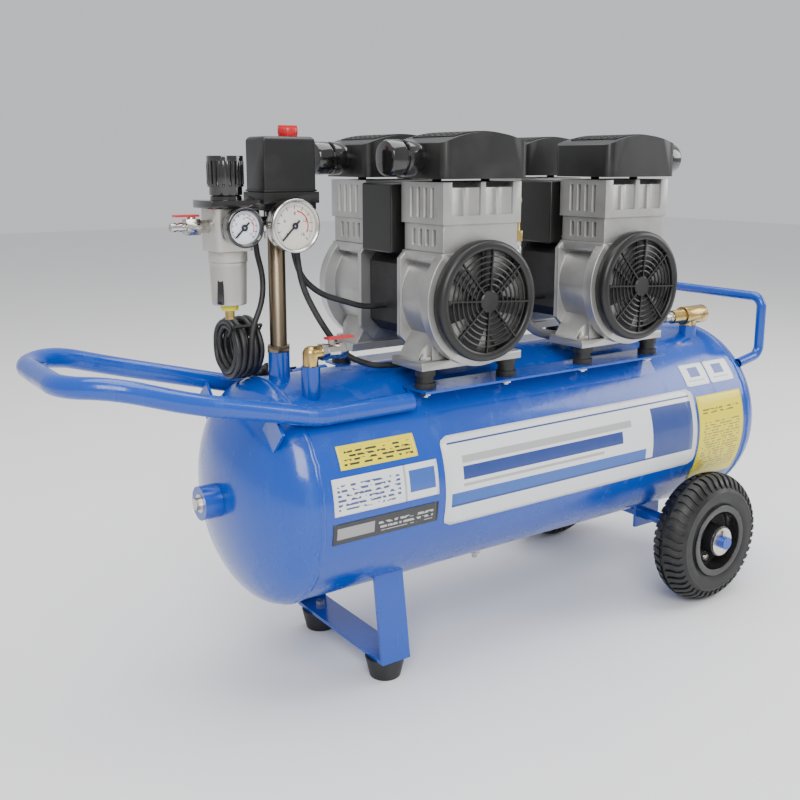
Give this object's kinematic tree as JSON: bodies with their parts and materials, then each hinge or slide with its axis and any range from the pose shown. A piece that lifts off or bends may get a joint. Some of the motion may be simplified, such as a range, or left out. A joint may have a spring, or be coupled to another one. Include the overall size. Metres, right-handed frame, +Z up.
{
  "type": "portable air compressor",
  "caption": "Wheeled air compressor: horizontal receiver tank with two motor-driven oil-free pumps, pressure switch, gauges, filter regulator, push handle and stand.",
  "frame": {"origin": "on the floor, midway along the overall length and on the tank's centre plane", "axes": "+Z up, +X from the push handle towards the wheels, +Y away from the side with the gauges' faces"},
  "size_m": [1.174, 0.432, 0.734],
  "materials": {
    "blue_paint": "gloss enamel over welded steel",
    "cast_aluminium": "die cast, satin",
    "machined_steel": "turned and brushed",
    "zinc_steel": "bright zinc plate",
    "chrome": "nickel plated",
    "brass": "turned brass",
    "black_plastic": "moulded, fine grain",
    "gloss_black": "moulded, polished",
    "red_plastic": "moulded",
    "black_rubber": "moulded",
    "tyre_rubber": "moulded tread",
    "black_metal": "black powder coat",
    "motor_steel": "black varnish over laminations",
    "cord_rubber": "flexible sheath",
    "braid": "woven stainless braid",
    "silver_paint": "silver enamel"
  },
  "bodies": {
    "chassis": {"tank_barrel": "blue_paint", "tank_end_left": "blue_paint", "tank_end_right": "blue_paint", "tank_sockets": "blue_paint", "pump_deck": "blue_paint", "push_handle": "blue_paint", "rear_handle": "blue_paint", "front_stand": "blue_paint", "stand_feet": "black_rubber", "axle": "blue_paint", "axle_brackets": "blue_paint", "fasteners": "zinc_steel", "rubber_mounts": "black_rubber", "silencers": "gloss_black", "motor_boxes": "black_plastic", "stand_pipe": "machined_steel", "manifold": "chrome", "switch_body": "black_plastic", "switch_cover": "black_plastic", "gauge_cases": "machined_steel", "regulator_body": "silver_paint", "filter_bowl": "silver_paint", "valve_bodies": "chrome", "brass_fittings": "brass", "braided_hose": "braid", "motor_leads": "cord_rubber", "power_cord": "cord_rubber", "cord_coil": "cord_rubber", "mains_plug": "black_rubber", "left_stator": "motor_steel", "left_crankcases": "cast_aluminium", "left_cylinders": "cast_aluminium", "left_heads": "cast_aluminium", "left_covers": "black_plastic", "left_fan_guards": "black_plastic", "right_stator": "motor_steel", "right_crankcases": "cast_aluminium", "right_cylinders": "cast_aluminium", "right_heads": "cast_aluminium", "right_covers": "black_plastic", "right_fan_guards": "black_plastic"},
    "front_wheel": {"front_tyre": "tyre_rubber", "front_rim": "black_metal"},
    "rear_wheel": {"rear_tyre": "tyre_rubber", "rear_rim": "black_metal"},
    "left_shaft": {"left_rotor": "machined_steel", "left_fans": "black_plastic"},
    "right_shaft": {"right_rotor": "machined_steel", "right_fans": "black_plastic"},
    "left_front_piston": {"left_front_piston": "cast_aluminium"},
    "left_rear_piston": {"left_rear_piston": "cast_aluminium"},
    "right_front_piston": {"right_front_piston": "cast_aluminium"},
    "right_rear_piston": {"right_rear_piston": "cast_aluminium"},
    "switch_knob": {"switch_knob": "red_plastic"},
    "regulator_knob": {"regulator_knob": "gloss_black"},
    "tank_needle": {"tank_needle": "black_metal"},
    "air_needle": {"air_needle": "black_metal"},
    "bowl_drain": {"bowl_drain": "brass"},
    "outlet_lever": {"outlet_lever": "red_plastic"},
    "tank_lever": {"tank_lever": "red_plastic"}
  },
  "joints": [
    {"name": "front_wheel_spin", "type": "hinge", "parent": "chassis", "child": "front_wheel", "pos_m": [0.389, -0.172, 0.1035], "axis": [0, 1, 0], "continuous": true},
    {"name": "rear_wheel_spin", "type": "hinge", "parent": "chassis", "child": "rear_wheel", "pos_m": [0.389, 0.172, 0.1035], "axis": [0, 1, 0], "continuous": true},
    {"name": "left_motor_spin", "type": "hinge", "parent": "chassis", "child": "left_shaft", "pos_m": [-0.046, 0, 0.512], "axis": [0, 1, 0], "continuous": true},
    {"name": "right_motor_spin", "type": "hinge", "parent": "chassis", "child": "right_shaft", "pos_m": [0.239, 0, 0.512], "axis": [0, 1, 0], "continuous": true},
    {"name": "left_front_piston_stroke", "type": "slide", "parent": "chassis", "child": "left_front_piston", "axis": [0, 0, 1], "range_m": [-0.016, 0]},
    {"name": "left_rear_piston_stroke", "type": "slide", "parent": "chassis", "child": "left_rear_piston", "axis": [0, 0, 1], "range_m": [-0.016, 0]},
    {"name": "right_front_piston_stroke", "type": "slide", "parent": "chassis", "child": "right_front_piston", "axis": [0, 0, 1], "range_m": [-0.016, 0]},
    {"name": "right_rear_piston_stroke", "type": "slide", "parent": "chassis", "child": "right_rear_piston", "axis": [0, 0, 1], "range_m": [-0.016, 0]},
    {"name": "switch_knob_turn", "type": "hinge", "parent": "chassis", "child": "switch_knob", "pos_m": [-0.253, 0, 0.72], "axis": [0, 0, 1], "range_deg": [0, 90]},
    {"name": "regulator_knob_turn", "type": "hinge", "parent": "chassis", "child": "regulator_knob", "pos_m": [-0.34, 0, 0.68], "axis": [0, 0, 1], "range_deg": [-170, 170]},
    {"name": "tank_needle_turn", "type": "hinge", "parent": "chassis", "child": "tank_needle", "pos_m": [-0.273, -0.052, 0.612], "axis": [0, 1, 0], "range_deg": [0, 270]},
    {"name": "air_needle_turn", "type": "hinge", "parent": "chassis", "child": "air_needle", "pos_m": [-0.34, -0.05, 0.612], "axis": [0, 1, 0], "range_deg": [0, 270]},
    {"name": "bowl_drain_turn", "type": "hinge", "parent": "chassis", "child": "bowl_drain", "pos_m": [-0.34, 0, 0.5], "axis": [0, 0, 1], "range_deg": [0, 90]},
    {"name": "outlet_lever_turn", "type": "hinge", "parent": "chassis", "child": "outlet_lever", "pos_m": [-0.386, 0, 0.626], "axis": [0, 0, 1], "range_deg": [0, 90]},
    {"name": "tank_lever_turn", "type": "hinge", "parent": "chassis", "child": "tank_lever", "pos_m": [-0.23, -0.062, 0.47], "axis": [0, 0, 1], "range_deg": [-90, 0]}
  ]
}
